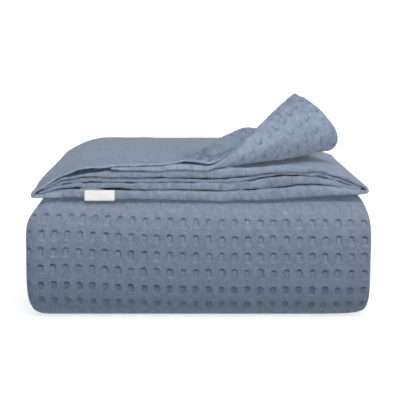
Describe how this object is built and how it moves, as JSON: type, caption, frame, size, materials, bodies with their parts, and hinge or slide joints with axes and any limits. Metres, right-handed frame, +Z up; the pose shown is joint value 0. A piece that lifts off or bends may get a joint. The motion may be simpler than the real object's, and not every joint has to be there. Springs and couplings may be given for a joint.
{
  "type": "folded waffle weave cotton blanket",
  "caption": "Waffle weave cotton blanket, folded across and then over and over into a flat bundle, with one corner of its top layers curled up.",
  "frame": {"origin": "middle of the folded bundle's base, on the surface that it lies on", "axes": "+X to the right along the bundle's width, with the front (hemmed ends, label and round fold) at -Y; +Z up"},
  "size_m": [0.4356, 0.3325, 0.2788],
  "materials": {
    "cotton_waffle": "soft matte waffle weave",
    "label_satin": "fine off-white satin"
  },
  "bodies": {
    "root": {"blanket_cloth": "cotton_waffle", "hem_label": "label_satin"}
  },
  "joints": []
}
